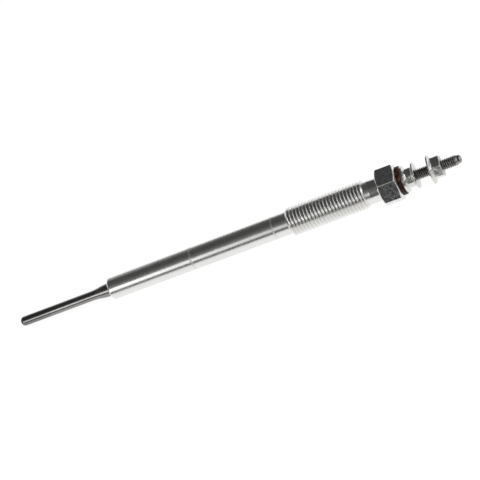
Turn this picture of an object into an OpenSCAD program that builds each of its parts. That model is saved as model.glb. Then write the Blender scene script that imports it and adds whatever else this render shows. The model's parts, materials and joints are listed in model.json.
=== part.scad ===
// Diesel glow plug with a slim sheathed heater, lying as it comes to rest.
// Every piece is drawn upright on the plug's axis, with z measured from the heater's tip.
// lying() then lays it down, with the floor at z = 0 and the terminal towards +X.

/* [Heater sheath] */
// Diameter of the slim heater sheath
sheath_d = 3.5; // [3.3:0.1:3.9]
// Diameter of the sheath where the body grips it
root_d = 4.8; // [4.5:0.1:4.9]
// Length of sheath that stands out of the body
sheath_reach = 37.5; // [32:0.5:45]
// Length over which the sheath widens to its root
flare_length = 7.4; // [4:0.2:9]
// Length of full-width root that stands out of the body
root_reach = 0.8; // [0.4:0.1:2]
// Length of sheath pressed into the body
sheath_grip = 24; // [16:0.5:34]
// Wall of the sheath
sheath_wall = 0.5; // [0.4:0.02:0.6]
// Thickness of the closed tip
tip_wall = 1.4; // [1:0.1:2]
// Radius of the rounding at the tip's edge
tip_round = 1.5; // [1:0.05:1.6]

/* [Heating element] */
// Diameter of the coils' wire
wire_d = 0.32; // [0.24:0.01:0.36]
// Diameter of both coils, at the middle of the wire
coil_d = 1.4; // [1.3:0.02:1.48]
// Length of the heating coil
heating_length = 14; // [10:0.5:17]
// Turns of the heating coil
heating_turns = 14; // [8:1:20]
// Length of the control coil
control_length = 18; // [12:0.5:20]
// Turns of the control coil
control_turns = 12; // [8:1:20]
// Length of the rubber seal in the sheath's open end
seal_length = 3; // [2:0.2:6]

/* [Body] */
// Diameter of the smooth shank
shank_d = 8; // [7.4:0.1:8.6]
// Length from the body's nose to the thread
shank_length = 70.3; // [50:0.1:90]
// Chamfer of the nose
nose_chamfer = 0.5; // [0.2:0.05:0.9]
// Distance from the nose to the first turned ring mark
first_ring = 33.1; // [10:0.1:35]
// Distance from the first ring mark to the second
ring_spacing = 31.5; // [4:0.1:34]
// Width of a ring mark
ring_width = 0.4; // [0.2:0.05:0.8]
// Depth of a ring mark
ring_depth = 0.05; // [0.04:0.01:0.15]
// Major diameter of the mounting thread
thread_d = 10; // [9.4:0.1:11]
// Length of the mounting thread
thread_length = 28.7; // [20:0.1:36]
// Chamfer at both ends of the thread
thread_chamfer = 0.7; // [0.4:0.05:0.9]
// Diameter of the neck
neck_d = 8.2; // [7.8:0.1:8.8]
// Length of the neck
neck_length = 4.9; // [3:0.1:8]
// Distance from the thread to the neck's ring mark
neck_ring = 1.9; // [1:0.1:2.2]
// Size of the hexagon across its flats
hex_across = 12; // [11.5:0.5:14]
// Length of the hexagon
hex_length = 7; // [6:0.1:9]
// Diameter of the flat end that the chamfer leaves on the hexagon, towards the neck
hex_end_d = 11.4; // [10.8:0.1:11.4]
// Diameter of the flat end that the chamfer leaves on the hexagon, towards the terminal
hex_face_d = 10.4; // [10.2:0.1:11]
// Diameter of the bore around the centre rod
bore_d = 5; // [4.8:0.1:5.2]

/* [Centre rod] */
// Diameter of the rod's tail in the sheath
tail_d = 1.8; // [1.75:0.05:1.95]
// Length of the rod's nose inside the control coil
nose_length = 3; // [1.5:0.1:5]
// Diameter of the rod in the body
rod_d = 3.5; // [3:0.1:3.7]
// Major diameter of the terminal thread
stud_d = 3.9; // [3.8:0.1:4.6]
// Length of stud between the two nuts
stud_gap = 5; // [2:0.1:8]
// Length of stud beyond the outer nut
stud_end = 6.9; // [4:0.1:10]
// Length of the plain pilot at the stud's end
pilot_length = 1.3; // [1.1:0.1:3]
// Length over which the thread tapers to the pilot
pilot_taper = 1; // [0.3:0.1:2]
// Diameter of the pilot
pilot_d = 2.9; // [2.4:0.1:3.5]
// Radius of the rounding on the pilot
pilot_round = 1; // [0.4:0.05:1.3]

/* [Insulation] */
// Diameter of the insulating collar
collar_d = 10; // [9.6:0.1:11]
// Thickness of the collar
collar_t = 1.4; // [1.2:0.1:3]
// Rounding of the collar's edge
collar_round = 0.25; // [0.1:0.05:0.5]
// Length of the bush's spigot in the body
spigot_length = 4.6; // [3:0.1:5]
// Thickness of the O-ring's cord
o_ring_cord = 1.8; // [1.6:0.05:2]

/* [Washer and nuts] */
// Outer diameter of the plain washer
washer_d = 9.2; // [8.4:0.1:10]
// Thickness of the plain washer
washer_t = 0.9; // [0.5:0.05:1.4]
// Size of the inner nut across its flats
clamp_across = 6.2; // [6:0.1:7]
// Depth to which the inner nut's corners are turned off
clamp_corner_cut = 0.28; // [0:0.02:0.3]
// Height of the inner nut
clamp_nut_h = 3.7; // [3.4:0.1:5]
// Diameter of the inner nut's flange
clamp_flange_d = 9; // [8.6:0.1:10]
// Turn of the inner nut about the axis, in degrees
clamp_nut_turn = -9; // [-30:1:30]
// Size of the outer nut across its flats
terminal_across = 7; // [6.8:0.1:8]
// Depth to which the outer nut's corners are turned off
terminal_corner_cut = 0.04; // [0:0.02:0.2]
// Height of the outer nut
terminal_nut_h = 4.1; // [3.4:0.1:5]
// Diameter of the outer nut's flange
terminal_flange_d = 10; // [9:0.1:10.6]
// Turn of the outer nut about the axis, in degrees
terminal_nut_turn = 2; // [-30:1:30]
// Thickness of both flanges at their rim
rim_t = 0.45; // [0.3:0.05:0.9]

/* [Edges] */
// Angle of the hexagon's chamfer to its end face towards the neck, in degrees
chamfer_angle = 30; // [15:1:35]
// Angle of the hexagon's chamfer to its end face towards the terminal, in degrees
face_angle = 20; // [10:1:25]
// Chamfer of the rod's shoulder in the body
rod_chamfer = 0.5; // [0.2:0.05:0.8]
// Chamfer where the terminal thread starts
stud_chamfer = 0.3; // [0.1:0.05:0.4]
// Chamfer of the spigot's end
spigot_chamfer = 0.3; // [0.1:0.05:0.6]
// Edge break of the washer
washer_edge = 0.1; // [0.05:0.05:0.2]
// Diameter of the flat end that the chamfer leaves on the inner nut
clamp_end_d = 6; // [5.2:0.1:6.2]
// Angle of the inner nut's chamfer to its end face, in degrees
clamp_crown_angle = 65; // [20:1:70]
// Diameter of the flat end that the chamfer leaves on the outer nut
terminal_end_d = 7.3; // [6.5:0.1:7.6]
// Angle of the outer nut's chamfer to its end face, in degrees
terminal_crown_angle = 30; // [15:1:40]
// Slope of the nuts' flanges, in degrees
flange_angle = 30; // [10:1:35]
// Edge break of the flanges' bearing face
rim_edge = 0.1; // [0.05:0.05:0.2]
// Width and depth of the countersinks in the nuts
countersink = 0.3; // [0.1:0.05:0.5]

/* [Fits] */
// Gap around what is pressed or packed into another piece
press_gap = 0.02; // [0.01:0.005:0.04]
// Gap around the bush's spigot and the coils' inner side
slip_gap = 0.06; // [0.03:0.01:0.1]
// Gap between the stud and what is threaded or slipped on it
stud_clearance = 0.1; // [0.05:0.01:0.2]
// Gap between the sheath's end and the rod's shoulder
shoulder_gap = 1; // [0.5:0.1:3]
// Distance from the spigot's end to the start of the terminal thread
thread_inset = 0.5; // [0.2:0.1:2]

/* [Hidden] */
$fn = 64;

// How far a cut runs past the face that it opens
over = 1;
// Facets of the coils: steps in a turn, sides of the wire, and the share of a coil that eases each end
coil_steps = 10;
wire_sides = 6;
coil_ease = 0.08;

// Stations along the axis, from the heater's tip
nose_z = sheath_reach;
root_z = nose_z - root_reach;
flare_z = root_z - flare_length;
sheath_end_z = nose_z + sheath_grip;
thread_z = nose_z + shank_length;
neck_z = thread_z + thread_length;
hex_z = neck_z + neck_length;
hex_end_z = hex_z + hex_length;
collar_end_z = hex_end_z + collar_t;
washer_end_z = collar_end_z + washer_t;
clamp_end_z = washer_end_z + clamp_nut_h;
terminal_z = clamp_end_z + stud_gap;
terminal_end_z = terminal_z + terminal_nut_h;
stud_end_z = terminal_end_z + stud_end;
pilot_z = stud_end_z - pilot_length;
taper_z = pilot_z - pilot_taper;

// Inside the sheath
cavity_z = tip_wall;
coil_join_z = cavity_z + heating_length;
tail_z = coil_join_z + control_length;
seal_z = sheath_end_z - seal_length;
nose_d = coil_d - wire_d - 2 * slip_gap;

// The rod's seat in the body
step_z = sheath_end_z + shoulder_gap;
spigot_z = hex_end_z - spigot_length;
counterbore_z = spigot_z - o_ring_cord;
counterbore_d = rod_d + 2 * o_ring_cord + 2 * press_gap;
stud_z = spigot_z + thread_inset;
stud_bore_d = stud_d + 2 * stud_clearance;

// The hexagon's chamfer leaves its flat from this point on
chamfer_slope = tan(chamfer_angle);
flat_z = hex_z + chamfer_slope * (hex_across - hex_end_d) / 2;

// The plug lies on the hexagon's flat and on the lowest of these edges, given as [z, radius]
rest_edges = [[nose_z + nose_chamfer, shank_d / 2], [thread_z + thread_chamfer, thread_d / 2]];
rest_slope = min([for (e = rest_edges) (hex_across / 2 - e[1]) / (flat_z - e[0])]);
rest_tilt = atan(rest_slope);
axis_height = hex_across / 2 * cos(rest_tilt) - flat_z * sin(rest_tilt);
middle = stud_end_z / 2 * cos(rest_tilt);

// Lays an upright piece down, with its lower side along the floor
module lying() {
    translate([-middle, 0, axis_height]) rotate([0, 90 - rest_tilt, 0]) children();
}

// A turned piece, from its half section with the axis at x = 0
module turned() {
    rotate_extrude() intersection() {
        children();
        translate([0, -over]) square([stud_end_z, stud_end_z + 2 * over]);
    }
}

// A rod with both ends chamfered
module chamfered_rod(d, from, to, lower, upper) {
    polygon([
        [0, from], [d / 2 - lower, from], [d / 2, from + lower],
        [d / 2, to - upper], [d / 2 - upper, to], [0, to]
    ]);
}

// A round hole along the axis
module drilled(d, from, to) {
    translate([0, 0, from]) cylinder(d = d, h = to - from);
}

// A hexagonal bar with one flat facing down when the plug lies
module hex_bar(across, from, to) {
    translate([0, 0, from]) linear_extrude(to - from) rotate(30)
        circle(d = across / cos(30), $fn = 6);
}

// Half section of the sheath, drawn in from its outside by inset and starting at from
module sheath_section(inset, from, to) {
    slim = sheath_d / 2 - inset;
    root = root_d / 2 - inset;
    waist = (slim + root) / 2;
    half = flare_length / 2;
    sweep = (half ^ 2 + (root - waist) ^ 2) / (2 * (root - waist));
    translate([0, from]) square([slim, to - from]);
    translate([0, root_z]) square([root, to - root_z]);
    difference() {
        translate([0, flare_z]) square([waist, half]);
        translate([slim + sweep, flare_z]) circle(r = sweep, $fn = 360);
    }
    intersection() {
        translate([0, flare_z + half]) square([root, half]);
        translate([root - sweep, root_z]) circle(r = sweep, $fn = 360);
    }
}

// Places along a coil as [z, angle, lead]. The wire leaves along the axis at both ends.
function eased(t, e) =
    t < e ? t ^ 2 / (2 * e * (1 - e)) :
    t > 1 - e ? 1 - (1 - t) ^ 2 / (2 * e * (1 - e)) :
    (t - e / 2) / (1 - e);
function pace(t, e) = min(t / e, 1, (1 - t) / e) / (1 - e);
function coil_path(from, length, turns) =
    let (steps = coil_steps * turns)
    [for (i = [0:steps])
        let (t = i / steps, climb = PI * coil_d * turns / length * pace(t, coil_ease))
        [from + length * t, 360 * turns * eased(t, coil_ease), atan2(1, climb)]];

// A round wire swept along a coil
module coil_wire(from, length, turns, d) {
    sides = wire_sides;
    path = coil_path(from, length, turns);
    last = len(path) - 1;
    points = [for (p = path, k = [0:sides - 1])
        let (
            out = [cos(p[1]), sin(p[1]), 0],
            along = [-sin(p[1]), cos(p[1]), 0],
            up = cos(p[2]) * [0, 0, 1] - sin(p[2]) * along,
            a = 360 * k / sides
        )
        coil_d / 2 * out + [0, 0, p[0]] + d / 2 * (cos(a) * out + sin(a) * up)];
    walls = [for (i = [0:last - 1], k = [0:sides - 1], half = [0, 1])
        let (a = i * sides + k, b = i * sides + (k + 1) % sides)
        half == 0 ? [a, b, a + sides] : [b, b + sides, a + sides]];
    caps = [[for (k = [sides - 1:-1:0]) k], [for (k = [0:sides - 1]) last * sides + k]];
    polyhedron(points, concat(walls, caps), convexity = 10);
}

// A flange nut standing on its flange at z = 0
module flange_nut(across, corner_cut, height, flange_d, end_d, crown_angle, turn) {
    corner_d = across / cos(30) - 2 * corner_cut;
    crown = (corner_d - end_d) / 2 * tan(crown_angle);
    flange_rise = (flange_d - across) / 2 * tan(flange_angle);
    difference() {
        union() {
            intersection() {
                rotate(turn) hex_bar(across, 0, height);
                turned() polygon([
                    [0, 0], [corner_d / 2, 0], [corner_d / 2, height - crown],
                    [end_d / 2, height], [0, height]
                ]);
            }
            turned() polygon([
                [0, 0], [flange_d / 2 - rim_edge, 0], [flange_d / 2, rim_edge], [flange_d / 2, rim_t],
                [across / 2, rim_t + flange_rise], [0, rim_t + flange_rise]
            ]);
        }
        turned() {
            translate([0, -over]) square([stud_bore_d / 2, height + 2 * over]);
            polygon([[0, 0], [stud_bore_d / 2 + countersink, 0], [0, stud_bore_d / 2 + countersink]]);
            polygon([
                [0, height], [stud_bore_d / 2 + countersink, height],
                [0, height - stud_bore_d / 2 - countersink]
            ]);
        }
    }
}

module body() color("silver") lying() difference() {
    union() {
        turned() difference() {
            union() {
                chamfered_rod(shank_d, nose_z, neck_z, nose_chamfer, 0);
                chamfered_rod(thread_d, thread_z, neck_z, thread_chamfer, thread_chamfer);
                translate([0, neck_z - thread_chamfer])
                    square([neck_d / 2, neck_length + thread_chamfer + over]);
            }
            for (z = [nose_z + first_ring, nose_z + first_ring + ring_spacing])
                translate([shank_d / 2, z]) ring_groove();
            translate([neck_d / 2, neck_z + neck_ring]) ring_groove();
        }
        intersection() {
            hex_bar(hex_across, hex_z, hex_end_z);
            turned() polygon([
                [0, hex_z], [hex_end_d / 2, hex_z],
                [hex_across, hex_z + (hex_across - hex_end_d / 2) * chamfer_slope],
                [hex_across, hex_end_z - (hex_across - hex_face_d / 2) * tan(face_angle)],
                [hex_face_d / 2, hex_end_z], [0, hex_end_z]
            ]);
        }
    }
    drilled(root_d + 2 * press_gap, nose_z - over, sheath_end_z + over);
    drilled(bore_d, sheath_end_z, hex_end_z);
    drilled(counterbore_d, counterbore_z, hex_end_z + over);
}

// The shallow mark that a turning tool leaves around a rod's surface
module ring_groove() {
    half = ring_width / 2;
    polygon([[over, -half], [0, -half], [-ring_depth, 0], [0, half], [over, half]]);
}

module heater_sheath() color("dimgray") lying() turned() difference() {
    union() {
        intersection() {
            sheath_section(0, 0, sheath_end_z);
            translate([0, tip_round]) square([root_d, sheath_end_z]);
        }
        square([sheath_d / 2 - tip_round, tip_round]);
        intersection() {
            translate([sheath_d / 2 - tip_round, tip_round]) circle(r = tip_round);
            square([sheath_d / 2, tip_round]);
        }
    }
    sheath_section(sheath_wall, cavity_z, sheath_end_z + over);
}

module heating_coil() color("tan") lying()
    coil_wire(cavity_z, heating_length, heating_turns, wire_d);

module control_coil() color("peru") lying()
    coil_wire(coil_join_z, control_length, control_turns, wire_d);

module magnesia_filling() color("white") lying() difference() {
    turned() sheath_section(sheath_wall + press_gap, cavity_z, seal_z);
    rod_tail(press_gap);
    coil_wire(cavity_z, heating_length, heating_turns, wire_d + 2 * press_gap);
    coil_wire(coil_join_z, control_length, control_turns, wire_d + 2 * press_gap);
}

module sheath_seal() color("black") lying() difference() {
    turned() translate([0, seal_z])
        square([root_d / 2 - sheath_wall - press_gap, seal_length]);
    rod_tail(press_gap);
}

// The thin end of the rod, with room around it for the pieces that hold it
module rod_tail(room) {
    turned() {
        translate([0, tail_z - nose_length - room]) square([nose_d / 2 + room, nose_length + over]);
        translate([0, tail_z - room]) square([tail_d / 2 + room, step_z - tail_z + over]);
    }
}

module centre_rod() color("gray") lying() {
    rod_tail(0);
    turned() {
        chamfered_rod(rod_d, step_z, stud_z + over, rod_chamfer, 0);
        chamfered_rod(stud_d, stud_z, taper_z, stud_chamfer, 0);
        polygon([
            [0, taper_z - over], [stud_d / 2, taper_z - over], [stud_d / 2, taper_z],
            [pilot_d / 2, pilot_z], [0, pilot_z]
        ]);
        translate([0, pilot_z - over]) square([pilot_d / 2, pilot_length + over - pilot_round]);
        translate([0, pilot_z]) square([pilot_d / 2 - pilot_round, pilot_length]);
        translate([pilot_d / 2 - pilot_round, stud_end_z - pilot_round]) circle(r = pilot_round);
    }
}

module o_ring() color("black") lying()
    translate([0, 0, counterbore_z + o_ring_cord / 2]) rotate_extrude()
        translate([rod_d / 2 + press_gap + o_ring_cord / 2, 0]) circle(d = o_ring_cord);

module insulating_bush() color("saddlebrown") lying() difference() {
    turned() {
        chamfered_rod(counterbore_d - 2 * slip_gap, spigot_z, hex_end_z + over, spigot_chamfer, 0);
        chamfered_rod(collar_d, hex_end_z, collar_end_z, collar_round, collar_round);
    }
    drilled(stud_bore_d, spigot_z - over, collar_end_z + over);
}

module plain_washer() color("lightgray") lying() difference() {
    turned() chamfered_rod(washer_d, collar_end_z, washer_end_z, washer_edge, washer_edge);
    drilled(stud_bore_d, collar_end_z - over, washer_end_z + over);
}

module clamp_nut() color("lightgray") lying()
    translate([0, 0, clamp_end_z]) mirror([0, 0, 1])
        flange_nut(
            clamp_across, clamp_corner_cut, clamp_nut_h, clamp_flange_d,
            clamp_end_d, clamp_crown_angle, clamp_nut_turn
        );

module terminal_nut() color("lightgray") lying()
    translate([0, 0, terminal_z])
        flange_nut(
            terminal_across, terminal_corner_cut, terminal_nut_h, terminal_flange_d,
            terminal_end_d, terminal_crown_angle, terminal_nut_turn
        );

body();
heater_sheath();
heating_coil();
control_coil();
magnesia_filling();
sheath_seal();
centre_rod();
o_ring();
insulating_bush();
plain_washer();
clamp_nut();
terminal_nut();
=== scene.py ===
# %% [markdown]
# A diesel glow plug, dressed for a photograph.
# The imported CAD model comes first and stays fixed. It says where every piece sits, in metres.
# The pieces that show are then rebuilt with what CAD leaves out: thread helices, broken edges
# and rounded corners. The pieces hidden inside keep their CAD meshes and only get a finish.

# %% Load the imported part
import json
import math

import bmesh
import bpy
from mathutils import Matrix, Vector


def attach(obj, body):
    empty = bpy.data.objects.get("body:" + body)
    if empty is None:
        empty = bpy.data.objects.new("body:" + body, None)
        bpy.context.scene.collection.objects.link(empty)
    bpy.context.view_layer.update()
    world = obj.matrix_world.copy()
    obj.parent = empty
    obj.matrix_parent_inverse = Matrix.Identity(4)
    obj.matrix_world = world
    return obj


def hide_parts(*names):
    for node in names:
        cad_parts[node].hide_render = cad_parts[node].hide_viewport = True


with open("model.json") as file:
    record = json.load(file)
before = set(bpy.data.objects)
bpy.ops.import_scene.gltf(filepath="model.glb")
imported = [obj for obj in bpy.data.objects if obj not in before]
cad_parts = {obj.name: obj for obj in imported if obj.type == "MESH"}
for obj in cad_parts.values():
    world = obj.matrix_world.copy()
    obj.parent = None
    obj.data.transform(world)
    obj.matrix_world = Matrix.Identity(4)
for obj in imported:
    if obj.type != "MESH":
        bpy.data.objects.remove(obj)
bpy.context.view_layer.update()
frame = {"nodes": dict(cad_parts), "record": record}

# %% [markdown]
# Everything on a glow plug is turned on one axis, so every place on it can be told by a station,
# the distance from the heater's tip, and a radius. The stations add up from the lengths of the
# pieces, in millimetres, so one changed length moves all that follows it.

# %% Lengths along the axis
sheath_reach = 37.5
shank_length = 70.3
thread_length = 28.7
neck_length = 4.9
hex_length = 7.0
collar_thick = 1.4
washer_thick = 0.9
clamp_nut_height = 3.7
stud_gap = 5.0
terminal_nut_height = 4.1
stud_end = 6.9

nose_z = sheath_reach
thread_z = nose_z + shank_length
neck_z = thread_z + thread_length
hex_z = neck_z + neck_length
hex_end_z = hex_z + hex_length
collar_end_z = hex_end_z + collar_thick
washer_end_z = collar_end_z + washer_thick
clamp_end_z = washer_end_z + clamp_nut_height
terminal_z = clamp_end_z + stud_gap
terminal_end_z = terminal_z + terminal_nut_height
stud_end_z = terminal_end_z + stud_end
print("the plug is", round(stud_end_z, 2), "mm long")

# %% [markdown]
# The plug lies on the edge of its nose and on a flat of its hexagon, so its axis is slightly tilted.
# The record's mounting thread gives that axis and a point on it. From them comes one matrix that
# takes a point drawn upright in millimetres, with z along the axis, to its place in metres.

# %% Where the plug lies
MM = 0.001
mounts = {mount["name"]: mount for mount in frame["record"]["mounts"]}
to_terminal = -Vector(mounts["mounting_thread"]["axis"]).normalized()
to_viewer = Vector((0, -1, 0))
to_top = to_viewer.cross(to_terminal)
thread_middle = Vector(mounts["mounting_thread"]["pos_m"])
tip = thread_middle - to_terminal * (thread_z + neck_z) / 2 * MM
rest_tilt = math.asin(to_terminal.z)
lie_down = Matrix.Translation(tip) @ Matrix((to_top, to_viewer, to_terminal)).transposed().to_4x4()
lie_down = lie_down @ Matrix.Scale(MM, 4)
print("the axis rises by", round(math.degrees(rest_tilt), 3), "degrees")

# %% [markdown]
# The photograph looks down on the plug from its terminal end with a long lens, and the plug runs
# from low left to high right. The view is set up by three angles, a station and a distance: how far
# round the axis the viewer stands, how much the axis comes towards the viewer, how the picture is
# rolled, which station is in the middle of the picture, and how far off the camera is.

# %% The camera
view_round = math.radians(37.0)
view_lean = math.radians(17.3)
view_roll = math.radians(20.4845)
view_station = 88.81
view_distance = 519.2 * MM
view_drop = 0.242 * MM

across = math.cos(view_round) * to_top + math.sin(view_round) * to_viewer
to_camera = math.sin(view_lean) * to_terminal + math.cos(view_lean) * across
along = (to_terminal - to_terminal.dot(to_camera) * to_camera).normalized()
upward = to_camera.cross(along)
picture_right = math.cos(view_roll) * along - math.sin(view_roll) * upward
picture_up = math.sin(view_roll) * along + math.cos(view_roll) * upward
target = tip + to_terminal * view_station * MM + upward * view_drop

camera = bpy.data.objects.new("camera", bpy.data.cameras.new("camera"))
bpy.context.scene.collection.objects.link(camera)
camera.data.lens = 112.5
camera.data.sensor_width = 36.0
camera.data.clip_start = 0.01
turned_view = Matrix((picture_right, picture_up, to_camera)).transposed().to_4x4()
camera.matrix_world = Matrix.Translation(target + to_camera * view_distance) @ turned_view
bpy.context.scene.camera = camera
bpy.context.scene.view_settings.view_transform = "Standard"
print("the camera stands at", [round(v, 3) for v in camera.matrix_world.translation])

# %% [markdown]
# Node trees are built in code here, for the finishes as well as for the threads. This helper adds a
# node, sets its inputs by name or number, and makes a link where it is given another node's output.

# %% A helper for node trees
def step(tree, kind, inputs=(), **settings):
    made = tree.nodes.new(kind)
    for name, value in settings.items():
        setattr(made, name, value)
    for name, value in dict(inputs).items():
        if isinstance(value, bpy.types.NodeSocket):
            tree.links.new(value, made.inputs[name])
        else:
            made.inputs[name].default_value = value
    return made


def calc(tree, operation, first, second=0.0):
    return step(tree, "ShaderNodeMath", {0: first, 1: second}, operation=operation).outputs[0]


print("node helpers ready")

# %% [markdown]
# A finish that follows the turned surface needs to know where it is along the axis. Object
# coordinates lie flat in the room, so a Mapping node turns them by the plug's tilt and counts them in
# millimetres from the heater's tip. Its X is then the station that the sizes above are given in.

# %% Places for the finishes
def new_finish(name):
    made = bpy.data.materials.new(name)
    made.use_nodes = True
    tree = made.node_tree
    shader = next(n for n in tree.nodes if n.type == "BSDF_PRINCIPLED")
    return made, tree, shader


def plug_place(tree):
    coordinates = step(tree, "ShaderNodeTexCoord")
    turn = Matrix.Rotation(rest_tilt, 3, "Y")
    mapping = step(tree, "ShaderNodeMapping", {"Vector": coordinates.outputs["Object"]})
    mapping.inputs["Scale"].default_value = (1 / MM, 1 / MM, 1 / MM)
    mapping.inputs["Rotation"].default_value = (0, rest_tilt, 0)
    mapping.inputs["Location"].default_value = -(turn @ tip) / MM
    return mapping.outputs["Vector"]


print("finishes count from the tip, tilted by", round(rest_tilt, 5), "radians")

# %% [markdown]
# A finish is mostly noise in the right proportions. These helpers stretch a noise, spread its values
# over a range, weigh two noises against each other, and turn values into shades of a colour.

# %% Noise and shades
def speckle(tree, place, stretch, detail=2.0, roughness=0.5):
    stretched = step(tree, "ShaderNodeVectorMath", {0: place, 1: stretch}, operation="MULTIPLY")
    inputs = {"Vector": stretched.outputs[0], "Scale": 1.0, "Detail": detail, "Roughness": roughness}
    return step(tree, "ShaderNodeTexNoise", inputs).outputs["Fac"]


def spread(tree, value, low, high, at_low=0.0, at_high=1.0):
    inputs = {"Value": value, "From Min": low, "From Max": high, "To Min": at_low, "To Max": at_high}
    return step(tree, "ShaderNodeMapRange", inputs).outputs["Result"]


def weighed(tree, first, first_share, second, second_share):
    first_part = calc(tree, "MULTIPLY", first, first_share)
    second_part = calc(tree, "MULTIPLY", second, second_share)
    return calc(tree, "ADD", first_part, second_part)


def shades(tree, amount, *colours, low=0.25, high=0.75):
    ramp = step(tree, "ShaderNodeValToRGB", {"Fac": amount})
    stops = ramp.color_ramp.elements
    stops[0].position = low
    stops[1].position = high
    for number in range(1, len(colours) - 1):
        stops.new(low + (high - low) * number / (len(colours) - 1))
    for stop, colour in zip(stops, colours):
        stop.color = (*colour, 1.0)
    return ramp.outputs["Color"]


def bumped(tree, shader, height, distance):
    inputs = {"Height": height, "Strength": 1.0, "Distance": distance}
    if shader.inputs["Normal"].links:
        inputs["Normal"] = shader.inputs["Normal"].links[0].from_socket
    tree.links.new(step(tree, "ShaderNodeBump", inputs).outputs[0], shader.inputs["Normal"])


print("noise helpers ready")

# %% [markdown]
# The body and the small steel pieces are zinc or nickel plated: a pale grey metal with a soft gloss,
# fine rings left by the turning tool, and a faint cloudiness from the plating bath. One function makes
# all of these, with more or less of each. The rings come from noise squeezed along the axis and
# stretched around it, so they run round the piece as tool marks do. Rings and grain are given by how
# many there are to a millimetre and by their height. The outer nut is the least even of the pieces.

# %% Plated and bare metal
AROUND = 0.12
fine_rings = (3.0, 1e-6)
nut_rings = (0.9, 1e-5)
fine_grain = (7.0, 2e-6)
nut_zinc = ((0.62, 0.615, 0.60), (0.78, 0.775, 0.76))


def metal(name, dark, light, gloss, rings=(5.0, 2e-6), clouds=0.3, grain=(7.0, 1.5e-6)):
    made, tree, shader = new_finish(name)
    place = plug_place(tree)
    ring_noise = speckle(tree, place, (rings[0], AROUND, AROUND), detail=3.0)
    cloud_noise = speckle(tree, place, (clouds,) * 3, detail=4.0, roughness=0.6)
    grain_noise = speckle(tree, place, (grain[0],) * 3, detail=2.0)
    tone = weighed(tree, cloud_noise, 0.6, ring_noise, 0.4)
    tree.links.new(shades(tree, tone, dark, light), shader.inputs["Base Color"])
    wear = weighed(tree, cloud_noise, 0.5, grain_noise, 0.5)
    rough = spread(tree, wear, 0.3, 0.7, gloss - 0.05, gloss + 0.07)
    tree.links.new(rough, shader.inputs["Roughness"])
    shader.inputs["Metallic"].default_value = 1.0
    bumped(tree, shader, ring_noise, rings[1])
    bumped(tree, shader, grain_noise, grain[1])
    return made


plated_steel = metal("plated_steel", (0.74, 0.735, 0.72), (0.84, 0.835, 0.82), 0.27)
washer_zinc = ((0.70, 0.695, 0.68), (0.80, 0.795, 0.78))
washer_steel = metal("washer_steel", *washer_zinc, 0.26, fine_rings, 0.5, fine_grain)
nut_steel = metal("nut_steel", *nut_zinc, 0.28, nut_rings, 0.6, (1.2, 8e-5))
forged_steel = metal("forged_steel", *nut_zinc, 0.26, nut_rings, 0.6, (0.7, 2.2e-4))
rod_grey = ((0.24, 0.236, 0.23), (0.36, 0.354, 0.345))
rod_steel = metal("rod_steel", *rod_grey, 0.40, fine_rings, 0.6, fine_grain)
sheath_alloy = metal("sheath_alloy", (0.24, 0.235, 0.23), (0.31, 0.305, 0.3), 0.21, (4.0, 1.5e-6), 0.35)
wire_tones = ((0.30, 0.26, 0.22), (0.42, 0.38, 0.33))
resistance_wire = metal("resistance_wire", *wire_tones, 0.35, (6.0, 1e-6), 0.9)
metals = (plated_steel, washer_steel, nut_steel, forged_steel, rod_steel, sheath_alloy, resistance_wire)
print("metals:", [m.name for m in metals])

# %% [markdown]
# No finish is the same everywhere. Places on it are told apart here by their station along the axis and
# their distance from it, so they stay where they are from every side. They could be painted on a
# picture, but a rule in millimetres stays sharp at any distance and needs no unwrapping. Each of these
# helpers lays something over what the finish already has: another gloss, another tone, or both.

# %% Helpers for places on a finish
SOFT_EDGE = 0.1
CRISP_EDGE = 0.05
WEAR_START = 0.06
WEAR_FULL = 0.03


def opened(material):
    tree = material.node_tree
    shader = next(n for n in tree.nodes if n.type == "BSDF_PRINCIPLED")
    return tree, shader, plug_place(tree)


def between(tree, place, low, high, soft):
    station = step(tree, "ShaderNodeSeparateXYZ", {0: place}).outputs["X"]
    rise = spread(tree, station, low - soft, low + soft)
    fall = spread(tree, station, high - soft, high + soft, 1.0, 0.0)
    return calc(tree, "MULTIPLY", rise, fall)


def overlay(tree, socket, share, value):
    under = socket.links[0].from_socket
    kind = "RGBA" if socket.type == "RGBA" else "FLOAT"
    mixed = step(tree, "ShaderNodeMix", {"Factor": share, "A": under, "B": value}, data_type=kind)
    tree.links.new(mixed.outputs["Result"], socket)


def gloss_band(material, low, high, soft, gloss):
    tree, shader, place = opened(material)
    overlay(tree, shader.inputs["Roughness"], between(tree, place, low, high, soft), gloss)


def tinted_band(material, low, high, soft, colour):
    tree, shader, place = opened(material)
    overlay(tree, shader.inputs["Base Color"], between(tree, place, low, high, soft), (*colour, 1.0))


def worn_corners(material, low, high, inner_r, gloss, colour):
    tree, shader, place = opened(material)
    off_axis = {0: place, 1: (0.0, 1.0, 1.0)}
    outwards = step(tree, "ShaderNodeVectorMath", off_axis, operation="MULTIPLY").outputs[0]
    radius = step(tree, "ShaderNodeVectorMath", {0: outwards}, operation="LENGTH").outputs["Value"]
    worn = spread(tree, radius, inner_r - WEAR_START, inner_r + WEAR_FULL)
    worn = calc(tree, "MULTIPLY", worn, between(tree, place, low, high, SOFT_EDGE))
    overlay(tree, shader.inputs["Roughness"], worn, gloss)
    overlay(tree, shader.inputs["Base Color"], worn, (*colour, 1.0))


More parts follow.
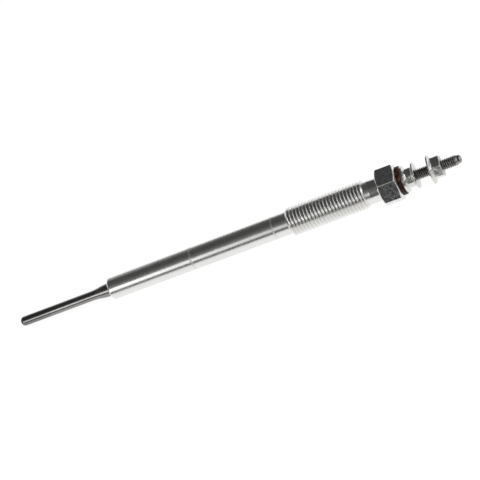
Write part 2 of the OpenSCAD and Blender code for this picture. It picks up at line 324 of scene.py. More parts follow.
def drawn_flats(material, low, high):
    tree, shader, place = opened(material)
    flats = between(tree, place, low, high, CRISP_EDGE)
    uneven = speckle(tree, place, (1.1, 1.1, 1.1), detail=4.0, roughness=0.65)
    overlay(tree, shader.inputs["Roughness"], flats, spread(tree, uneven, 0.3, 0.7, 0.12, 0.26))
    stained = shades(tree, uneven, (0.5, 0.51, 0.51), (0.86, 0.86, 0.85), low=0.36, high=0.62)
    overlay(tree, shader.inputs["Base Color"], flats, stained)
    bumped(tree, shader, calc(tree, "MULTIPLY", uneven, flats), 3e-5)


print("helpers for places ready")

# %% [markdown]
# On the body, the tool left two duller rings on the shank and a mark on the neck, beyond which the neck
# is smoother. The thread has a gloss of its own. The flats of the hexagon are drawn, not turned: smooth
# and without rings, but stained and slightly uneven, and its corners are rubbed by spanners.

# %% Marks and flats on the body
first_ring = 33.1
ring_spacing = 31.5
ring_marks = (nose_z + first_ring, nose_z + first_ring + ring_spacing)
ring_reach = 0.35
ring_fade = 0.17
neck_mark = neck_z + 1.35
flats_z = hex_z + 0.3
flats_end_z = hex_end_z - 0.35
hex_corner_r = 6.83
rubbed_steel = (0.86, 0.855, 0.84)

for ring in ring_marks:
    gloss_band(plated_steel, ring - ring_reach, ring + ring_reach, ring_fade, gloss=0.47)
gloss_band(plated_steel, thread_z, neck_z, SOFT_EDGE, gloss=0.29)
gloss_band(plated_steel, neck_mark, hex_z, SOFT_EDGE, gloss=0.24)
drawn_flats(plated_steel, flats_z, flats_end_z)
worn_corners(plated_steel, hex_z, hex_end_z, hex_corner_r, gloss=0.38, colour=rubbed_steel)
print("ring marks at", [round(m, 1) for m in (*ring_marks, neck_mark)])

# %% [markdown]
# The sheath's colour is darker over its tip: painted shade for the dimmer reflection there. The end of
# the inner nut that turns on the washer is rubbed bright. The outer nut has pale corners from the spanner,
# flats that are less glossy than its flange, and a dull free end. The stud's pilot is smoother than its
# thread. A band that covers an end face reaches a little past it.

# %% Marks on the small pieces
before_tip = -1.0
shaded_tip_length = 12.5
shaded_tip_fade = 0.6
painted_shade_alloy = (0.205, 0.202, 0.198)
past_end = 0.2
bright_length = 0.7
bright_zinc = (0.93, 0.925, 0.91)
rubbed_zinc = (0.9, 0.895, 0.88)
terminal_corner_r = 3.88
nut_corners_z = terminal_z + 1.1
nut_flats_z = terminal_z + 1.0
nut_face_z = terminal_end_z - 0.15
smooth_length = 2.3

# Painted shade: the sheath's tip is darkened in colour to stand in for the dimmer reflection it shows.
tinted_band(sheath_alloy, before_tip, shaded_tip_length, shaded_tip_fade, painted_shade_alloy)
tinted_band(nut_steel, washer_end_z - past_end, washer_end_z + bright_length, SOFT_EDGE, bright_zinc)
worn_corners(forged_steel, nut_corners_z, terminal_end_z, terminal_corner_r, gloss=0.42, colour=rubbed_zinc)
gloss_band(forged_steel, nut_flats_z, terminal_end_z, SOFT_EDGE, gloss=0.32)
gloss_band(forged_steel, nut_face_z, terminal_end_z + past_end, CRISP_EDGE, gloss=0.6)
gloss_band(rod_steel, stud_end_z - smooth_length, stud_end_z, SOFT_EDGE, gloss=0.3)
print("the sheath is darkest over its first", shaded_tip_length, "mm")

# %% [markdown]
# The insulating collar is moulded phenolic resin, a brittle brown plastic with fibre and mineral in
# it, so it is mottled and only half glossy. The powder in the sheath and the rubber seals can't be
# seen from outside, but they are part of the model, so they get a plain finish of their own kind.

# %% Plastic, powder and rubber
def moulded(name, colours, gloss, mottle_scale, grain_scale, grain_height):
    made, tree, shader = new_finish(name)
    place = plug_place(tree)
    mottle = speckle(tree, place, (mottle_scale,) * 3, detail=5.0, roughness=0.65)
    grain = speckle(tree, place, (grain_scale,) * 3, detail=3.0)
    tree.links.new(shades(tree, mottle, *colours, low=0.44, high=0.6), shader.inputs["Base Color"])
    tree.links.new(spread(tree, grain, 0.3, 0.7, gloss - 0.07, gloss + 0.07), shader.inputs["Roughness"])
    shader.inputs["Specular IOR Level"].default_value = 0.25
    bumped(tree, shader, grain, grain_height)
    return made


phenolic = ((0.008, 0.002, 0.0015), (0.045, 0.009, 0.006), (0.02, 0.007, 0.004), (0.12, 0.055, 0.022))
insulator = moulded("insulator", phenolic, 0.5, 1.0, 4.0, 1e-5)
magnesia = moulded("magnesia", ((0.62, 0.61, 0.58), (0.78, 0.77, 0.74)), 0.85, 2.0, 9.0, 2e-5)
seal_rubber = moulded("seal_rubber", ((0.012, 0.012, 0.012), (0.03, 0.03, 0.03)), 0.6, 1.0, 6.0, 6e-6)
print("moulded:", [m.name for m in (insulator, magnesia, seal_rubber)])

# %% [markdown]
# A turned piece is one half section carried round the axis. A hexagon can be made the same way when
# the section may differ from column to column: each column of points has its own radius. The columns
# crowd together near the six corners, so the corners get their small rounding without many more faces.
# A rounding in the section is an arc with a guard point just before and just after it. Without these,
# smooth shading would tilt the light on the long faces beside the arc, and their reflections with it.

# %% Sections carried round the axis
GUARD = 0.1


def columns(count, corner=0.0, crowding=0.0):
    even = [2 * math.pi * k / count for k in range(count)]
    return [corner + e - crowding / 6 * math.sin(6 * e) for e in even]


def eased(corners, steps=3):
    points = []
    for i, (r, z, rounding) in enumerate(corners):
        if not rounding:
            points.append((r, z))
            continue
        here = Vector((r, z))
        back = (Vector(corners[i - 1][:2]) - here).normalized()
        on = (Vector(corners[(i + 1) % len(corners)][:2]) - here).normalized()
        half = back.angle(on) / 2
        reach = rounding / math.tan(half)
        centre = here + (back + on).normalized() * rounding / math.sin(half)
        start = here + back * reach - centre
        end = here + on * reach - centre
        swing = start.angle_signed(end)
        points.append(tuple(here + back * (reach + GUARD * rounding)))
        for k in range(steps + 1):
            arm = Matrix.Rotation(-swing * k / steps, 2) @ start
            points.append(tuple(centre + arm))
        points.append(tuple(here + on * (reach + GUARD * rounding)))
    return points


def carried_round(angles, section, closed=True):
    drawn = bmesh.new()
    rows = []
    for angle in angles:
        points = [(r * math.cos(angle), r * math.sin(angle), z) for r, z in section(angle)]
        rows.append([drawn.verts.new(p) for p in points])
    last = len(rows[0]) if closed else len(rows[0]) - 1
    for k, row in enumerate(rows):
        after = rows[(k + 1) % len(rows)]
        for j in range(last):
            i = (j + 1) % len(row)
            drawn.faces.new((row[j], after[j], after[i], row[i]))
    return drawn


print("columns near a corner, in degrees:", [round(math.degrees(a), 2) for a in columns(120, 0, 0.85)[:4]])

# %% [markdown]
# Every piece ends the same way: its points are merged where they meet, its faces are turned outwards,
# it is laid down into its place in metres, and its edges are shaded sharp where they are sharp. Then it
# is parented to the root, the CAD solid it stands for is hidden, and it gets its finish.

# %% Finish a piece
SHARP = math.radians(32)
WELD = 0.0015


def finish_piece(name, drawn, material, node):
    bmesh.ops.remove_doubles(drawn, verts=drawn.verts[:], dist=WELD)
    bmesh.ops.dissolve_degenerate(drawn, edges=drawn.edges[:], dist=WELD / 10)
    bmesh.ops.recalc_face_normals(drawn, faces=drawn.faces[:])
    open_edges = sum(1 for edge in drawn.edges if not edge.is_manifold)
    drawn.transform(lie_down)
    mesh = bpy.data.meshes.new(name)
    drawn.to_mesh(mesh)
    drawn.free()
    mesh.shade_smooth()
    mesh.set_sharp_from_angle(angle=SHARP)
    mesh.materials.clear()
    mesh.materials.append(material)
    piece = bpy.data.objects.new(name, mesh)
    bpy.context.scene.collection.objects.link(piece)
    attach(piece, "root")
    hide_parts(node)
    print(name, "has", len(mesh.polygons), "faces and", open_edges, "open edges")


print("edges over", round(math.degrees(SHARP)), "degrees stay sharp")

# %% [markdown]
# A thread is one rule: the surface at any point depends only on how far along and how far round it is.
# Geometry Nodes suit that. The tree starts from a flat grid, with one side running round the axis and
# the other along it, slanted by one pitch a turn so that its rows follow the helix. A profile curve then
# sets each row's radius, and both ends are cut back to a cone, as a real thread is. Where the grid's
# sides meet, and where the cut has pressed rows together, Merge by Distance closes the tube.

# %% The thread rule as a node tree
THREAD_SIZES = (
    ("Start", 0.0), ("Length", 10.0), ("Radius", 5.0), ("Depth", 0.7), ("Pitch", 1.25),
    ("Start Radius", 4.3), ("End Radius", 4.3), ("Corner", 0.0), ("Crowding", 0.0), ("Cone", 1.0),
    ("Start Land", 0.7), ("End Land", 0.7), ("Run Out", 0.5), ("Crest Crowding", 0.6),
)
THREAD_COUNTS = (("Columns", 96), ("Rows", 64), ("Rows Per Pitch", 16))


def thread_tree():
    tree = bpy.data.node_groups.new("helical_thread", "GeometryNodeTree")
    tree.interface.new_socket("Geometry", in_out="OUTPUT", socket_type="NodeSocketGeometry")
    for name, size in THREAD_SIZES:
        socket = tree.interface.new_socket(name, in_out="INPUT", socket_type="NodeSocketFloat")
        socket.default_value = size
    for name, count in THREAD_COUNTS:
        socket = tree.interface.new_socket(name, in_out="INPUT", socket_type="NodeSocketInt")
        socket.default_value = count
    tree.interface.new_socket("Finish", in_out="INPUT", socket_type="NodeSocketMaterial")
    given = step(tree, "NodeGroupInput").outputs
    sides = {"Size X": 1.0, "Size Y": 1.0}
    sides["Vertices X"] = calc(tree, "ADD", given["Columns"], 1)
    sides["Vertices Y"] = calc(tree, "ADD", given["Rows"], 1)
    grid = step(tree, "GeometryNodeMeshGrid", sides)
    flat = step(tree, "ShaderNodeSeparateXYZ", {0: step(tree, "GeometryNodeInputPosition").outputs[0]})
    around = calc(tree, "ADD", flat.outputs["X"], 0.5)
    upwards = calc(tree, "ADD", flat.outputs["Y"], 0.5)
    row = calc(tree, "ROUND", calc(tree, "MULTIPLY", upwards, given["Rows"]))
    place = thread_place(tree, given, around, row)
    moved = step(tree, "GeometryNodeSetPosition", {"Geometry": grid.outputs["Mesh"], "Position": place})
    welded = step(tree, "GeometryNodeMergeByDistance", {"Geometry": moved.outputs[0], "Distance": WELD})
    real = step(tree, "GeometryNodeRealizeInstances", {"Geometry": welded.outputs[0]})
    dressed = {"Geometry": real.outputs[0], "Material": given["Finish"]}
    result = step(tree, "GeometryNodeSetMaterial", dressed)
    step(tree, "NodeGroupOutput", {"Geometry": result.outputs[0]})
    return tree


print("thread inputs:", [name for name, size in THREAD_SIZES + THREAD_COUNTS])

# %% [markdown]
# The place of one grid point. Its angle uses the same crowding as the columns of the body, so that the
# thread and the turned surfaces on both sides of it share their points. The profile is drawn as a curve:
# a rounded crest, straight flanks and a rounded root, read from the crest at 0 to the root at 1. Each
# pair gives a share of the way and the share of the depth that the thread has fallen by there.

# %% The place of a point on the thread
THREAD_PROFILE = (
    (0.06, 0.008), (0.12, 0.034), (0.18, 0.082), (0.24, 0.15), (0.84, 0.925), (0.92, 0.985),
)


def thread_place(tree, given, around, row):
    even = calc(tree, "MULTIPLY", around, 2 * math.pi)
    wave = calc(tree, "SINE", calc(tree, "MULTIPLY", even, 6.0))
    bunch = calc(tree, "MULTIPLY", wave, calc(tree, "DIVIDE", given["Crowding"], 6.0))
    angle = calc(tree, "SUBTRACT", calc(tree, "ADD", given["Corner"], even), bunch)
    even_turns = calc(tree, "DIVIDE", row, given["Rows Per Pitch"])
    swell = calc(tree, "SINE", calc(tree, "MULTIPLY", even_turns, 2 * math.pi))
    shift = calc(tree, "MULTIPLY", swell, calc(tree, "DIVIDE", given["Crest Crowding"], 2 * math.pi))
    turns = calc(tree, "SUBTRACT", even_turns, shift)
    round_share = calc(tree, "DIVIDE", calc(tree, "SUBTRACT", angle, given["Corner"]), 2 * math.pi)
    rise = calc(tree, "SUBTRACT", calc(tree, "ADD", turns, round_share), 1.0)
    height = calc(tree, "MULTIPLY", rise, given["Pitch"])
    height = calc(tree, "MINIMUM", calc(tree, "MAXIMUM", height, 0.0), given["Length"])
    left = calc(tree, "SUBTRACT", given["Length"], height)
    off_crest = calc(tree, "MULTIPLY", calc(tree, "PINGPONG", turns, 0.5), 2.0)
    radius = thread_radius(tree, given, off_crest, height, left)
    place = {"X": calc(tree, "MULTIPLY", radius, calc(tree, "COSINE", angle))}
    place["Y"] = calc(tree, "MULTIPLY", radius, calc(tree, "SINE", angle))
    place["Z"] = calc(tree, "ADD", height, given["Start"])
    return step(tree, "ShaderNodeCombineXYZ", place).outputs[0]


def thread_radius(tree, given, off_crest, height, left):
    profile = step(tree, "ShaderNodeFloatCurve", {"Value": off_crest})
    for way, fall in THREAD_PROFILE:
        profile.mapping.curves[0].points.new(way, fall).handle_type = "VECTOR"
    profile.mapping.update()
    from_start = calc(tree, "SUBTRACT", height, given["Start Land"])
    from_end = calc(tree, "SUBTRACT", left, given["End Land"])
    fade = calc(tree, "DIVIDE", calc(tree, "MINIMUM", from_start, from_end), given["Run Out"])
    fade = calc(tree, "MINIMUM", calc(tree, "MAXIMUM", fade, 0.0), 1.0)
    cut = calc(tree, "MULTIPLY", profile.outputs[0], calc(tree, "MULTIPLY", given["Depth"], fade))
    radius = calc(tree, "SUBTRACT", given["Radius"], cut)
    climb = calc(tree, "MULTIPLY", height, given["Cone"])
    radius = calc(tree, "MINIMUM", radius, calc(tree, "ADD", given["Start Radius"], climb))
    descent = calc(tree, "MULTIPLY", left, given["Cone"])
    return calc(tree, "MINIMUM", radius, calc(tree, "ADD", given["End Radius"], descent))


helical_thread = thread_tree()
print("the thread tree has", len(helical_thread.nodes), "nodes")

# %% [markdown]
# To use the tree, an empty object gets it as a modifier. Each input is set by its socket's identifier
# before the first evaluation, the result is taken as a plain mesh, and the helper object goes away.

# %% Cut a thread
def cut_thread(sizes, pitch_rows, count, finish):
    rows = (math.ceil(sizes["Length"] / sizes["Pitch"]) + 1) * pitch_rows
    wanted = {**sizes, "Columns": count, "Rows": rows, "Rows Per Pitch": pitch_rows, "Finish": finish}
    blank = bpy.data.objects.new("thread_blank", bpy.data.meshes.new("thread_blank"))
    bpy.context.scene.collection.objects.link(blank)
    modifier = blank.modifiers.new("thread", "NODES")
    modifier.node_group = helical_thread
    for socket in helical_thread.interface.items_tree:
        if socket.in_out == "INPUT" and socket.name in wanted:
            modifier[socket.identifier] = wanted[socket.name]
    evaluated = blank.evaluated_get(bpy.context.evaluated_depsgraph_get())
    mesh = bpy.data.meshes.new_from_object(evaluated)
    blank.modifiers.remove(modifier)
    bpy.data.objects.remove(blank)
    print("a thread of", len(mesh.vertices), "points and", len(mesh.polygons), "faces")
    return mesh


print("threads are cut by the tree", helical_thread.name)

# %% [markdown]
# The heater sheath is a closed tube of heat resistant alloy. It is swaged slim, its tip is rounded over,
# and it widens in a gentle curve to the part that the body grips. It is a plain turned section with the
# hollow inside, so that the shell has a real wall.

# %% The heater sheath
sheath_r = 1.75
root_r = 2.4
flare_length = 7.4
root_reach = 0.8
sheath_grip = 24.0
sheath_wall = 0.5
tip_wall = 1.4
tip_round = 1.5
tip_steps = 10
sheath_columns = 72
sheath_end_z = nose_z + sheath_grip


def flare(inset, steps=10):
    half = flare_length / 2
    rise = (root_r - sheath_r) / 2
    sweep = (half**2 + rise**2) / (2 * rise)
    start = nose_z - root_reach - flare_length
    heights = [half * k / steps for k in range(steps + 1)]
    bends = [(h, sweep - math.sqrt(sweep**2 - h**2)) for h in heights]
    hollow = [(sheath_r - inset + bend, start + h) for h, bend in bends]
    round_over = [(root_r - inset - bend, start + flare_length - h) for h, bend in reversed(bends[:-1])]
    return hollow + round_over


tip_angles = [math.pi / 2 * k / tip_steps for k in range(tip_steps + 1)]
tip_bend = [
    (sheath_r - tip_round + tip_round * math.sin(a), tip_round * (1 - math.cos(a))) for a in tip_angles
]
sheath_outside = [(0, 0)] + tip_bend + flare(0) + [(root_r, sheath_end_z)]
sheath_inside = [(root_r - sheath_wall, sheath_end_z)] + flare(sheath_wall)[::-1]
sheath_inside += [(sheath_r - sheath_wall, tip_wall), (0, tip_wall)]
drawn = carried_round(columns(sheath_columns), lambda angle: sheath_outside + sheath_inside, closed=False)
finish_piece("heater_tube", drawn, sheath_alloy, "heater_sheath")

# %% [markdown]
# The body is one bar of steel: shank, thread, neck and hexagon, with the bore for the heater and the rod.
# Its section starts where the thread starts, runs back over the shank to the nose, through the bore to
# the hexagon and over the neck to the thread's other end. The thread from the node tree fills the gap.
# It stops a little before the neck, so that its last turn runs out through the chamfer in full view.

# %% Sizes of the body
shank_r = 4.0
nose_chamfer = 0.5
nose_round = 0.12
nose_end_round = 0.1
mark_half = 0.2
mark_depth = 0.03
mark_lip_round = 0.1
mark_round = 0.12
thread_r = 5.0
thread_chamfer = 0.7
thread_root_r = thread_r - thread_chamfer
thread_stop = 0.3
thread_end_z = neck_z - thread_stop
neck_r = 4.1
neck_start_r = 4.02
neck_end_r = 3.94
neck_mark_half = 0.1
neck_mark_depth = 0.02
neck_mark_round = 0.1
neck_lip_round = 0.3
neck_foot_round = 0.15
hex_across = 12.0
hex_end_r = 5.7
hex_face_r = 5.2
hex_rounding = 0.4
hex_end_round = 0.4
hex_face_round = 0.45
broken_edge = 0.05
chamfer_slope = math.tan(math.radians(30))
face_slope = math.tan(math.radians(20))
bore_r = 2.5
press_gap = 0.02
spigot_length = 4.6
o_ring_cord = 1.8
counterbore_r = 3.57
counterbore_z = hex_end_z - spigot_length - o_ring_cord
counterbore_chamfer = 0.2
body_corner = math.radians(30)
body_columns = 192
body_crowding = 0.65
print("the counterbore is", round(hex_end_z - counterbore_z, 2), "mm deep")

# %% [markdown]
# Round the hexagon, a column's radius follows from its angle: along a flat it is the flat's distance
# over a cosine, and near a corner it is that of a small arc. The chamfers at both ends of the hexagon
# are cones, so they start lower on a corner than on a flat, which gives the flats their curved ends.

# %% The body's section
def hexagon_radius(from_corner, size, rounding):
    off = abs((from_corner + math.pi / 6) % (math.pi / 3) - math.pi / 6)
    centre = (size / 2 - rounding) / math.cos(math.pi / 6)
    touch = math.atan2(rounding * 0.5, centre + rounding * math.cos(math.pi / 6))
    if off > touch:
        return size / 2 / math.cos(math.pi / 6 - off)
    return centre * math.cos(off) + math.sqrt(rounding**2 - (centre * math.sin(off))**2)


def mark(radius, station):
    shape = ((mark_half, 0, mark_lip_round), (0, mark_depth, mark_round), (-mark_half, 0, mark_lip_round))
    return [(radius - deep, station + off, rounding) for off, deep, rounding in shape]


def body_section(angle):
    hex_r = hexagon_radius(angle - body_corner, hex_across, hex_rounding)
    chamfer_z = hex_z + (hex_r - hex_end_r) * chamfer_slope
    face_z = hex_end_z - (hex_r - hex_face_r) * face_slope
    corners = [(thread_root_r, thread_z, 0), (shank_r, thread_z, 0)]
    for station in reversed(ring_marks):
        corners += mark(shank_r, station)
    corners += [(shank_r, nose_z + nose_chamfer, nose_round)]
    corners += [(shank_r - nose_chamfer, nose_z, nose_end_round)]
    corners += [(root_r + press_gap, nose_z, 0), (root_r + press_gap, sheath_end_z, 0)]
    corners += [(bore_r, sheath_end_z, 0), (bore_r, counterbore_z, 0), (counterbore_r, counterbore_z, 0)]
    corners += [(counterbore_r, hex_end_z - counterbore_chamfer, 0)]
    corners += [(counterbore_r + counterbore_chamfer, hex_end_z, 0), (hex_face_r, hex_end_z, broken_edge)]
    corners += [(hex_r, face_z, hex_face_round), (hex_r, chamfer_z, hex_end_round)]
    corners += [(hex_end_r, hex_z, broken_edge), (neck_end_r, hex_z, neck_foot_round)]
    corners += [(neck_r, neck_mark + neck_mark_half, neck_lip_round)]
    corners += [(neck_r - neck_mark_depth, neck_mark, neck_mark_round)]
    corners += [(neck_start_r, thread_end_z, 0), (thread_root_r, thread_end_z, 0)]
    return eased(corners)


print("the body's section has", len(body_section(0)), "points")

# %% [markdown]
# The mounting thread is M10 with a pitch of 1.25 mm. Its depth follows from the pitch, as for any metric
# thread, and both its ends are chamfered to the same radius as the section's ends.

# %% The body
THREAD_DEPTH_SHARE = 0.6134
mounting_pitch = 1.25
mounting_rows = 16
mounting_thread = {
    "Start": thread_z, "Length": thread_end_z - thread_z, "Radius": thread_r, "Pitch": mounting_pitch,
    "Depth": THREAD_DEPTH_SHARE * mounting_pitch, "Start Radius": thread_root_r, "End Radius": thread_root_r,
    "Corner": body_corner + math.pi, "Crowding": body_crowding,
    "Start Land": thread_chamfer, "End Land": 0.1, "Run Out": 0.4,
}
thread_mesh = cut_thread(mounting_thread, mounting_rows, body_columns, plated_steel)
drawn = carried_round(columns(body_columns, body_corner, body_crowding), body_section, closed=False)
drawn.from_mesh(thread_mesh)
finish_piece("body_steel", drawn, plated_steel, "body")

# %% [markdown]
# The centre rod carries the current down to the coils. Only its threaded end shows, the terminal stud:
# M4 with a pitch of 0.7 mm, tapered to a smooth rounded pilot that guides the nuts on. A rolled thread
# is a little thinner than its name says, so its crest stays just under the full radius.

# %% The rod and its stud
heating_length = 14.0
control_length = 18.0
tail_r = 0.9
rod_nose_r = 0.48
rod_nose_length = 3.0
tail_z = tip_wall + heating_length + control_length
rod_r = 1.75
rod_chamfer = 0.5
rod_step = 1.0
step_z = sheath_end_z + rod_step
spigot_z = hex_end_z - spigot_length
stud_r = 1.95
stud_allowance = 0.05
stud_start = 0.5
stud_z = spigot_z + stud_start
pilot_r = 1.45
pilot_length = 1.3
pilot_taper = 1.0
pilot_z = stud_end_z - pilot_length
pilot_round = 1.0
pilot_steps = 8
stud_pitch = 0.7
stud_rows = 12
stud_columns = 60

stud_thread = {
    "Start": stud_z, "Length": pilot_z - stud_z, "Radius": stud_r - stud_allowance, "Pitch": stud_pitch,
    "Depth": THREAD_DEPTH_SHARE * stud_pitch, "Start Radius": rod_r, "End Radius": pilot_r,
    "Start Land": 0.3, "End Land": 0.5, "Run Out": 0.3, "Cone": (stud_r - pilot_r) / pilot_taper,
}
rod_inside = [(0, tail_z - rod_nose_length), (rod_nose_r, tail_z - rod_nose_length), (rod_nose_r, tail_z)]
rod_inside += [(tail_r, tail_z), (tail_r, step_z), (rod_r - rod_chamfer, step_z)]
rod_inside += [(rod_r, step_z + rod_chamfer), (rod_r, stud_z)]
pilot = [(pilot_r, pilot_z, 0), (pilot_r, stud_end_z, pilot_round), (0, stud_end_z, 0)]
drawn = carried_round(columns(stud_columns), lambda angle: rod_inside, closed=False)
drawn.from_mesh(cut_thread(stud_thread, stud_rows, stud_columns, rod_steel))
pilot_end = carried_round(columns(stud_columns), lambda angle: eased(pilot, pilot_steps), closed=False)
pilot_mesh = bpy.data.meshes.new("pilot")
pilot_end.to_mesh(pilot_mesh)
pilot_end.free()
drawn.from_mesh(pilot_mesh)
finish_piece("terminal_stud", drawn, rod_steel, "centre_rod")

# %% [markdown]
# The insulating bush keeps the live rod away from the body. Its collar shows between the hexagon and the
# washer. The edges of a moulding are always a little round, and so are those of a stamped washer.

# %% The insulating bush and the washer
collar_r = 5.0
collar_round = 0.3
spigot_gap = 0.06
spigot_r = counterbore_r - spigot_gap
spigot_round = 0.25
stud_bore_r = 2.05
washer_r = 4.6
washer_bore_round = 0.06
washer_back_round = 0.15
washer_front_round = 0.1
ring_columns = 96

bush_corners = [
    (stud_bore_r, spigot_z, 0), (spigot_r, spigot_z, spigot_round), (spigot_r, hex_end_z, 0),
    (collar_r, hex_end_z, collar_round), (collar_r, collar_end_z, collar_round),
    (stud_bore_r, collar_end_z, 0),
]
drawn = carried_round(columns(ring_columns), lambda angle: eased(bush_corners))
finish_piece("insulator_bush", drawn, insulator, "insulating_bush")

washer_corners = [
    (stud_bore_r, collar_end_z, washer_bore_round), (washer_r, collar_end_z, washer_back_round),
    (washer_r, washer_end_z, washer_front_round), (stud_bore_r, washer_end_z, washer_bore_round),
]
drawn = carried_round(columns(ring_columns), lambda angle: eased(washer_corners))
finish_piece("washer", drawn, washer_steel, "plain_washer")

# %% [markdown]
# Both nuts are flange nuts. The hexagon stands on a cone that spreads the load, and its free end is
# chamfered, which cuts an arc into the top of each flat. In a section carried round the axis, both
# follow by themselves: the cone and the chamfer meet each column at that column's own radius. The
# inner nut's corners are turned off and its flange looks outwards, to take the wire's ring terminal.

# %% The two flange nuts
clamp_flange_r = 4.5
terminal_flange_r = 5.0
rim_thick = 0.45
rim_round = 0.12
cone_round = 0.2
crown_round = 0.02
least_crown = 0.05
flange_slope = math.tan(math.radians(30))
countersink = 0.3
nut_crowding = 0.8
inner_hex = {"across": 6.2, "rounding": 0.2, "corner_cut": 0.28, "end_r": 3.0, "crown": 65, "turn": -9}
outer_hex = {"across": 7.0, "rounding": 0.6, "corner_cut": 0.04, "end_r": 3.65, "crown": 30, "turn": 2}


def flange_nut(name, node, bearing_z, height, flange_r, hexagon, outwards, plating):
    corner = body_corner + math.radians(hexagon["turn"])
    corner_r = hexagon["across"] / 2 / math.cos(math.pi / 6) - hexagon["corner_cut"]
    crown_slope = math.tan(math.radians(hexagon["crown"]))
    mouth_r = stud_bore_r + countersink

    def section(angle):
        hex_r = hexagon_radius(angle - corner, hexagon["across"], hexagon["rounding"])
        hex_r = min(hex_r, corner_r)
        cone_end = rim_thick + (flange_r - hex_r) * flange_slope
        end_r = min(hexagon["end_r"], hex_r - least_crown)
        chamfer = height - (hex_r - end_r) * crown_slope
        corners = [(mouth_r, 0, 0), (flange_r, 0, rim_round), (flange_r, rim_thick, rim_round)]
        corners += [(hex_r, cone_end, cone_round), (hex_r, chamfer, crown_round)]
        corners += [(end_r, height, crown_round), (mouth_r, height, 0)]
        corners += [(stud_bore_r, height - countersink, 0), (stud_bore_r, countersink, 0)]
        return [(r, bearing_z + outwards * up) for r, up in eased(corners)]

    drawn = carried_round(columns(ring_columns, corner, nut_crowding), section)
    finish_piece(name, drawn, plating, node)


inner_sizes = (clamp_end_z, clamp_nut_height, clamp_flange_r, inner_hex)
outer_sizes = (terminal_z, terminal_nut_height, terminal_flange_r, outer_hex)
flange_nut("inner_nut", "clamp_nut", *inner_sizes, outwards=-1, plating=nut_steel)
flange_nut("outer_nut", "terminal_nut", *outer_sizes, outwards=1, plating=forged_steel)

# %% [markdown]
# The coils, the powder and the seals stay as the CAD model has them. They only get their finishes.

# %% Finishes for the hidden pieces
hidden = {
    "heating_coil": resistance_wire, "control_coil": resistance_wire, "magnesia_filling": magnesia,
    "sheath_seal": seal_rubber, "o_ring": seal_rubber,
}
for node, material in hidden.items():
    frame["nodes"][node].data.materials.clear()
    frame["nodes"][node].data.materials.append(material)
print("finished inside:", list(hidden))

# %% [markdown]
# The plug lies on white. The camera sees the whole floor as white, and a share of it takes real light,
# so that the plug still casts a soft shadow on it. Metal mirrors a white sheet whose edge lies a little
# in front of the plug, and the dimmer table before it, as on a photographer's table.

# %% The floor
FLOOR_HALF = 20.0
SHEET_EDGE = 0.08
SHEET_WHITE = 0.9
TABLE_GREY = 0.12
SHADOW_SHARE = 0.2
BOUNCE_WHITE = 0.8
FADE_BEFORE = 0.02
FADE_AFTER = 0.01
floor_mesh = bpy.data.meshes.new("floor")
corners = [(-FLOOR_HALF, -FLOOR_HALF, 0), (FLOOR_HALF, -FLOOR_HALF, 0)]
corners += [(FLOOR_HALF, FLOOR_HALF, 0), (-FLOOR_HALF, FLOOR_HALF, 0)]
floor_mesh.from_pydata(corners, [], [(0, 1, 2, 3)])
floor = bpy.data.objects.new("floor", floor_mesh)
bpy.context.scene.collection.objects.link(floor)

paper = bpy.data.materials.new("paper")
paper.use_nodes = True
tree = paper.node_tree
tree.nodes.clear()
rays = step(tree, "ShaderNodeLightPath").outputs
shown = calc(tree, "MAXIMUM", rays["Is Camera Ray"], rays["Is Glossy Ray"])
shown = calc(tree, "MAXIMUM", shown, rays["Is Transmission Ray"])
catch = step(tree, "ShaderNodeBsdfDiffuse", {"Color": (SHADOW_SHARE, SHADOW_SHARE, SHADOW_SHARE, 1)})
lit = step(tree, "ShaderNodeBsdfDiffuse", {"Color": (BOUNCE_WHITE, BOUNCE_WHITE, BOUNCE_WHITE, 1)})
spot = step(tree, "ShaderNodeTexCoord").outputs["Object"]
depth = step(tree, "ShaderNodeSeparateXYZ", {0: spot}).outputs["Y"]
edge = (-SHEET_EDGE - FADE_BEFORE, -SHEET_EDGE + FADE_AFTER)
on_sheet = spread(tree, depth, *edge, TABLE_GREY, SHEET_WHITE)
bright = calc(tree, "MAXIMUM", on_sheet, calc(tree, "MULTIPLY", rays["Is Camera Ray"], SHEET_WHITE))
white = step(tree, "ShaderNodeEmission", {"Color": (1, 1, 1, 1), "Strength": bright})
seen = step(tree, "ShaderNodeAddShader", {0: catch.outputs[0], 1: white.outputs[0]})
both = step(tree, "ShaderNodeMixShader", {0: shown, 1: lit.outputs[0], 2: seen.outputs[0]})
step(tree, "ShaderNodeOutputMaterial", {"Surface": both.outputs[0]})
floor_mesh.materials.append(paper)
print("floor of", 2 * FLOOR_HALF, "m")

# %% [markdown]
# Metal shows what is around it, so the light is placed for its reflections, and each lamp's strength is
# given as the brightness that a mirror would show. The room is dim, which gives the dark band between
# the bright stripe and the upper edge. A lamp is a soft rectangle. A row of them side by side makes a
# light that fades along its length, which one lamp can't.

# %% The room and its lamps
ROOM_GREY = 0.062
world = bpy.data.worlds.new("room")
bpy.context.scene.world = world
world.use_nodes = True
room = next(n for n in world.node_tree.nodes if n.type == "BACKGROUND")
room.inputs["Color"].default_value = (ROOM_GREY, ROOM_GREY, ROOM_GREY, 1)


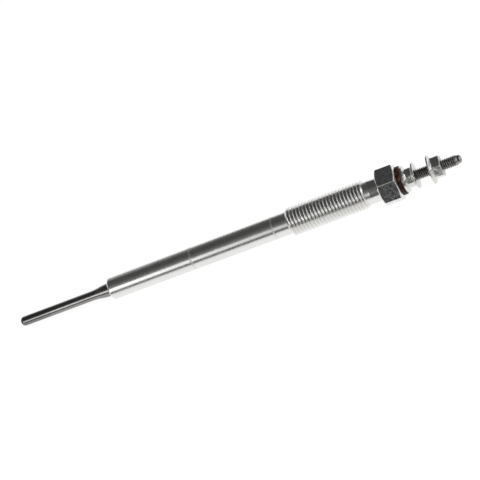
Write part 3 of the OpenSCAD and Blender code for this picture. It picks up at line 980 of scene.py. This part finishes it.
def soft_lamp(name, place, aim, size, radiance):
    data = bpy.data.lights.new(name, "AREA")
    data.shape = "RECTANGLE"
    data.size, data.size_y = size
    data.energy = radiance * math.pi * size[0] * size[1]
    lamp = bpy.data.objects.new(name, data)
    bpy.context.scene.collection.objects.link(lamp)
    lamp.location = place
    lamp.rotation_euler = (Vector(aim) - Vector(place)).to_track_quat("-Z", "Y").to_euler()
    return lamp


def lamp_row(name, panels, depth, up, aim_up, height):
    for number, (left, right, radiance) in enumerate(panels):
        middle = (left + right) / 2
        place = (middle, depth, up)
        soft_lamp(f"{name}_{number}", place, (middle, 0, aim_up), (right - left, height), radiance)


print("the room's brightness is", ROOM_GREY)

# %% [markdown]
# A long row on the viewer's side draws the bright stripe along the plug and fades towards the terminal.
# A dim panel overhead keeps the dark band from being flat, and a low row of cards behind the plug lightens
# its upper edge, most of all on the left. The left, right and end lamps light what looks their way, such
# as chamfers and flanges. The fill lamp lights what is not metal: metal doesn't mirror it.

# %% Place the lamps
plug_middle = (0.0, 0.0, 0.0)
long_panels = ((-0.98, -0.37, 2.6), (-0.37, -0.3, 0.98), (-0.3, -0.225, 0.84), (-0.225, -0.105, 0.68))
back_cards = ((-0.7, -0.26, 0.34), (-0.26, -0.215, 0.2), (-0.215, -0.1, 0.07))

lamp_row("long_lamp", long_panels, depth=-0.6, up=0.461, aim_up=0, height=0.4)
soft_lamp("ceiling_lamp", (-0.3, -0.34, 0.9), (-0.3, -0.34, 0.0), (0.8, 0.5), 0.06)
lamp_row("back_card", back_cards, depth=0.5, up=0.155, aim_up=0.155, height=0.31)
soft_lamp("left_lamp", (-1.08, 0.133, 0.74), plug_middle, (0.8, 0.3), 0.8)
soft_lamp("right_lamp", (0.75, -0.05, 0.55), plug_middle, (1.6, 0.35), 1.5)
soft_lamp("end_lamp", (0.758, -0.03, 0.247), plug_middle, (0.62, 0.225), 2.5)
fill_lamp = soft_lamp("fill_lamp", (0.3, -0.3, 1.2), plug_middle, (1.2, 1.2), 1.6)
fill_lamp.visible_glossy = False
